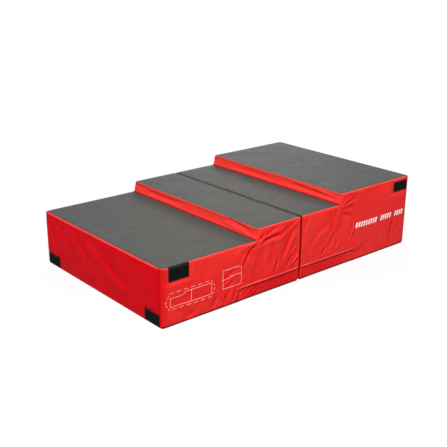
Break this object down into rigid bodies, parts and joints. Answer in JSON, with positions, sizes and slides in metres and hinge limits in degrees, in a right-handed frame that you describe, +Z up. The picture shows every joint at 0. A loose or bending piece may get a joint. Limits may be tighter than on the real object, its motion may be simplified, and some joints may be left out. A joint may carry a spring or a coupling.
{
  "type": "folding soft step box",
  "caption": "Folding foam step box with a wipe-clean cover, shown opened flat as a run of rising steps; it folds in the middle into a plain block.",
  "frame": {"origin": "centre of the opened box on the floor, below the fold", "axes": "+X along the length from the low half to the high half, +Z up"},
  "size_m": [1.503, 0.9052, 0.35],
  "materials": {
    "red_cover": "red PVC-coated polyester, semi-gloss, softly creased",
    "grey_cover": "dark grey PVC-coated polyester with a fine matt grain",
    "base_cover": "dark non-slip coated fabric",
    "foam": "closed-cell foam block, hidden by the cover",
    "hook_and_loop": "black hook-and-loop tape, fuzzy",
    "tab_webbing": "black woven webbing",
    "zip_tape": "black woven zip tape",
    "zip_coil": "black nylon coil",
    "zip_metal": "nickel-plated slider and pull"
  },
  "bodies": {
    "high_half": {"high_base_panel": "base_cover", "high_end_inner": "red_cover", "high_end_outer": "red_cover", "high_end_patches": "hook_and_loop", "high_foam_base": "foam", "high_foam_step": "foam", "high_riser": "red_cover", "high_side_far": "red_cover", "high_side_near": "red_cover", "high_side_patches": "hook_and_loop", "high_top_inner": "grey_cover", "high_top_outer": "grey_cover", "high_zip_band": "red_cover", "high_zip_coil": "zip_coil", "high_zip_facing": "red_cover", "high_zip_stops": "zip_coil", "high_zip_tapes": "zip_tape", "hinge_strip": "grey_cover"},
    "low_half": {"low_base_panel": "base_cover", "low_end_inner": "red_cover", "low_end_outer": "red_cover", "low_end_patches": "hook_and_loop", "low_foam_base": "foam", "low_foam_step": "foam", "low_riser": "red_cover", "low_side_far": "red_cover", "low_side_near": "red_cover", "low_top_inner": "grey_cover", "low_top_outer": "grey_cover", "low_zip_band": "red_cover", "low_zip_coil": "zip_coil", "low_zip_facing": "red_cover", "low_zip_stops": "zip_coil", "low_zip_tapes": "zip_tape", "tab_far_anchor": "tab_webbing", "tab_near_anchor": "tab_webbing"},
    "near_tab": {"tab_near_strap": "tab_webbing", "tab_near_hooks": "hook_and_loop"},
    "far_tab": {"tab_far_strap": "tab_webbing", "tab_far_hooks": "hook_and_loop"},
    "low_slider": {"low_zip_slider": "zip_metal", "low_zip_pull": "zip_metal"},
    "high_slider": {"high_zip_slider": "zip_metal", "high_zip_pull": "zip_metal"}
  },
  "joints": [
    {"name": "fold", "type": "hinge", "parent": "high_half", "child": "low_half", "pos_m": [0, 0, 0.302], "axis": [0, 1, 0], "range_deg": [0, 180], "deforming": ["hinge_strip"]},
    {"name": "near_tab_flip", "type": "hinge", "parent": "low_half", "child": "near_tab", "pos_m": [-0.668, -0.45225, 0.247], "axis": [-1, 0, 0], "range_deg": [0, 180]},
    {"name": "far_tab_flip", "type": "hinge", "parent": "low_half", "child": "far_tab", "pos_m": [-0.668, 0.45225, 0.247], "axis": [1, 0, 0], "range_deg": [0, 180]},
    {"name": "low_zip", "type": "slide", "parent": "low_half", "child": "low_slider", "axis": [1, 0, 0], "range_m": [0, 0.29]},
    {"name": "high_zip", "type": "slide", "parent": "high_half", "child": "high_slider", "axis": [-1, 0, 0], "range_m": [0, 0.29]}
  ]
}
